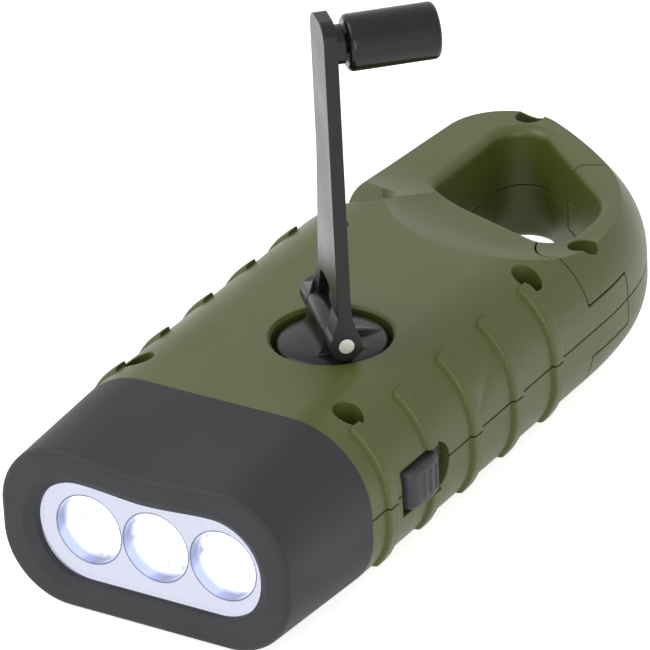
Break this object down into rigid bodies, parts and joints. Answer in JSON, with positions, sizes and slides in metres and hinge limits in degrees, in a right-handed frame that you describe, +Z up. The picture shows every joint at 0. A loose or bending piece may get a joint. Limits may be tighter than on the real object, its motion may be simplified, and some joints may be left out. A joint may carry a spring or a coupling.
{
  "type": "hand crank flashlight",
  "caption": "Palm-sized dynamo torch with a wide lamp bezel, a fold-away crank, a slide switch and a sprung carabiner gate in its tail.",
  "frame": {"origin": "on the flat underside, midway between the sides of the casing and midway along the length", "axes": "+Y from the lamp to the carabiner, +Z up through the crank, +X to the side with the switch and gate"},
  "size_m": [0.0533, 0.1326, 0.0813],
  "materials": {
    "olive_plastic": "fine moulded texture",
    "charcoal_plastic": "satin moulded",
    "black_plastic": "smooth, half gloss",
    "clear_plastic": "clear",
    "mirror_coating": "bright vacuum coating",
    "lamp_diode": "clear epoxy, lit",
    "circuit_board": "solder resist",
    "steel": "turned",
    "gear_nylon": "natural nylon",
    "magnet": "coated ferrite",
    "cell_wrap": "shrink sleeve"
  },
  "bodies": {
    "casing": {"upper_shell": "olive_plastic", "lower_shell": "olive_plastic", "bezel": "charcoal_plastic", "lens": "clear_plastic", "reflector": "mirror_coating", "leds": "lamp_diode", "led_board": "circuit_board", "control_board": "circuit_board", "slide_switch": "black_plastic", "gear_plate": "steel", "plate_screws": "steel", "first_axle": "steel", "second_axle": "steel", "generator_case": "steel", "battery_cells": "cell_wrap", "case_screws": "steel", "gate_spring": "steel"},
    "crank": {"crank_hub": "black_plastic", "hub_screw": "steel", "drive_gear": "gear_nylon"},
    "arm": {"crank_arm": "black_plastic", "arm_pin": "steel", "knob_axle": "steel"},
    "knob": {"crank_knob": "black_plastic"},
    "first_step": {"first_idler": "gear_nylon"},
    "second_step": {"second_idler": "gear_nylon"},
    "rotor": {"generator_rotor": "magnet", "generator_pinion": "gear_nylon"},
    "switch": {"switch_button": "black_plastic", "switch_slider": "gear_nylon"},
    "gate": {"gate_upper": "olive_plastic", "gate_lower": "olive_plastic", "gate_pin": "steel"}
  },
  "joints": [
    {"name": "crank_spin", "type": "hinge", "parent": "casing", "child": "crank", "pos_m": [0.0046, -0.0206, 0.0258], "axis": [0, 0, 1], "continuous": true},
    {"name": "arm_fold", "type": "hinge", "parent": "crank", "child": "arm", "pos_m": [0.0046, -0.0206, 0.0302], "axis": [-0.7133, 0.7009, 0], "range_deg": [-90, 65]},
    {"name": "knob_spin", "type": "hinge", "parent": "arm", "child": "knob", "pos_m": [0.00831, -0.02424, 0.0767], "axis": [0.7009, 0.7133, 0], "continuous": true},
    {"name": "first_step_spin", "type": "hinge", "parent": "casing", "child": "first_step", "pos_m": [-0.00742, -0.00858, 0.018], "axis": [0, 0, 1], "continuous": true},
    {"name": "second_step_spin", "type": "hinge", "parent": "casing", "child": "second_step", "pos_m": [0.00668, -0.00345, 0.016], "axis": [0, 0, 1], "continuous": true},
    {"name": "rotor_spin", "type": "hinge", "parent": "casing", "child": "rotor", "pos_m": [0.00223, -0.01566, 0.008], "axis": [0, 0, 1], "continuous": true},
    {"name": "switch_slide", "type": "slide", "parent": "casing", "child": "switch", "axis": [0, 1, 0], "range_m": [0, 0.0022]},
    {"name": "gate_swing", "type": "hinge", "parent": "casing", "child": "gate", "pos_m": [0.0201, 0.0264, 0.0136], "axis": [0, 0, 1], "range_deg": [0, 35], "stiffness_Nm_per_rad": 0.004, "springref_deg": -17.19}
  ],
  "couplings": [
    {"joint": "first_step_spin", "follows": "crank_spin", "ratio": -4.6667},
    {"joint": "second_step_spin", "follows": "crank_spin", "ratio": 18.667},
    {"joint": "rotor_spin", "follows": "crank_spin", "ratio": -62.222}
  ]
}
